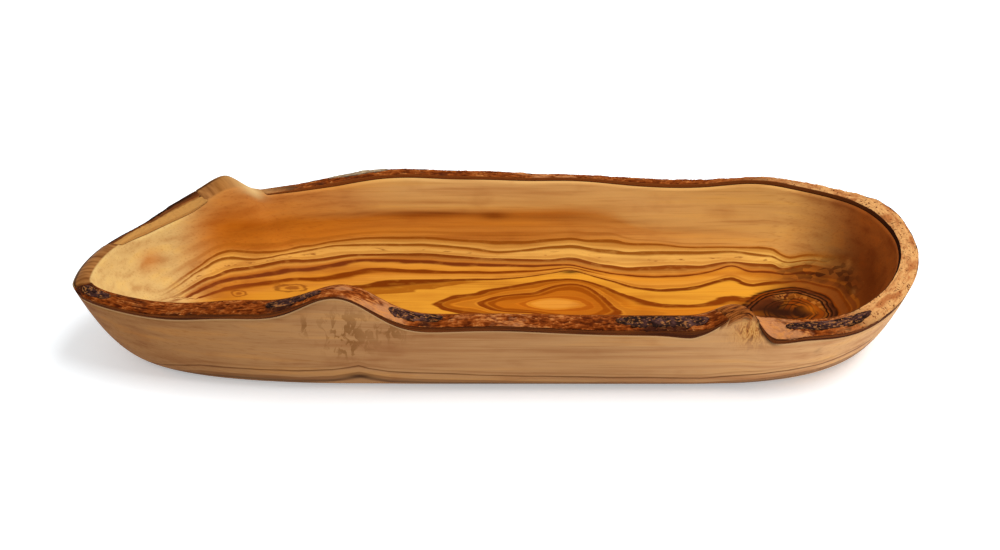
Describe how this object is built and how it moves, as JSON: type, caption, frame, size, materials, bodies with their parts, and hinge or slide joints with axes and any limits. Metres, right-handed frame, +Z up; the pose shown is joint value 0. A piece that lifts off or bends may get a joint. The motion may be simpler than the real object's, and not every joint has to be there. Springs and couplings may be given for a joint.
{
  "type": "dough bowl",
  "caption": "Long live-edge dough bowl carved from a half log of olive wood, with a round end, a tapered end and natural bark on its rim.",
  "frame": {"origin": "on the flat foot, under the middle of the bowl's length and width", "axes": "+X along the bowl towards its round end, +Y towards its back, away from the two front knobs, +Z up"},
  "size_m": [0.41, 0.1365, 0.065],
  "materials": {
    "olive_wood": "oiled, satin",
    "inner_bark": "rough and fibrous",
    "outer_bark": "rough, dry"
  },
  "bodies": {
    "root": {"bowl_body": "olive_wood", "front_bark": "inner_bark", "back_bark": "inner_bark", "left_end_bark": "inner_bark", "tip_scale": "outer_bark", "knob_scale_left": "outer_bark", "knob_scale_right": "outer_bark", "front_scale": "outer_bark", "corner_scale": "outer_bark", "back_scale": "outer_bark"}
  },
  "joints": []
}
